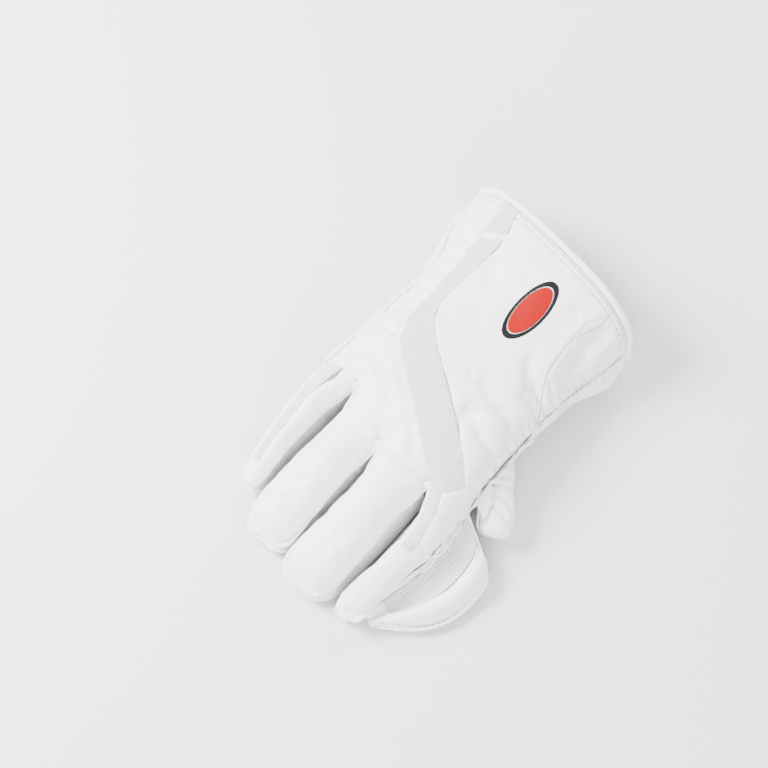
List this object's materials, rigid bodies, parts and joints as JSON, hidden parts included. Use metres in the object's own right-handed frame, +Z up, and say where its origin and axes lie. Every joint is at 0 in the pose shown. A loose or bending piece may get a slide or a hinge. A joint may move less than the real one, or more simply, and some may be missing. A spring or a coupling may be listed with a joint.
{
  "type": "wicketkeeping glove",
  "caption": "Right-hand wicketkeeping glove of padded white leather with mesh vents, a flared cuff, a thumb web and a pimpled palm, lying palm down.",
  "frame": {"origin": "on the floor under the middle of the box round the glove", "axes": "+Z up from the palm to the back of the hand, +Y from the finger tips to the cuff's mouth, +X towards the thumb"},
  "size_m": [0.2058, 0.3314, 0.0802],
  "materials": {
    "white_leather": "satin white soft leather, padded",
    "vent_mesh": "white knitted mesh with small grey dots",
    "pimpled_rubber": "matte cream rubber with rows of small pimples",
    "wall_fabric": "matte grey knitted fabric",
    "binding_leather": "satin white leather rolled round the rim"
  },
  "bodies": {
    "root": {"back_panel": "white_leather", "vent_band": "vent_mesh", "finger_back_little": "white_leather", "finger_back_ring": "white_leather", "finger_back_middle": "white_leather", "finger_back_index": "white_leather", "vent_strip_little": "vent_mesh", "vent_strip_index": "vent_mesh", "finger_wall_little": "wall_fabric", "finger_wall_ring": "wall_fabric", "finger_wall_middle": "wall_fabric", "finger_wall_index": "wall_fabric", "palm_facing": "pimpled_rubber", "cuff_palm": "white_leather", "cuff_binding": "binding_leather", "wrist_gusset": "wall_fabric", "thumb_back": "white_leather", "thumb_palm": "pimpled_rubber", "thumb_gusset": "white_leather", "web_back": "white_leather", "web_vent": "vent_mesh", "web_facing": "pimpled_rubber", "web_strap": "pimpled_rubber"}
  },
  "joints": []
}
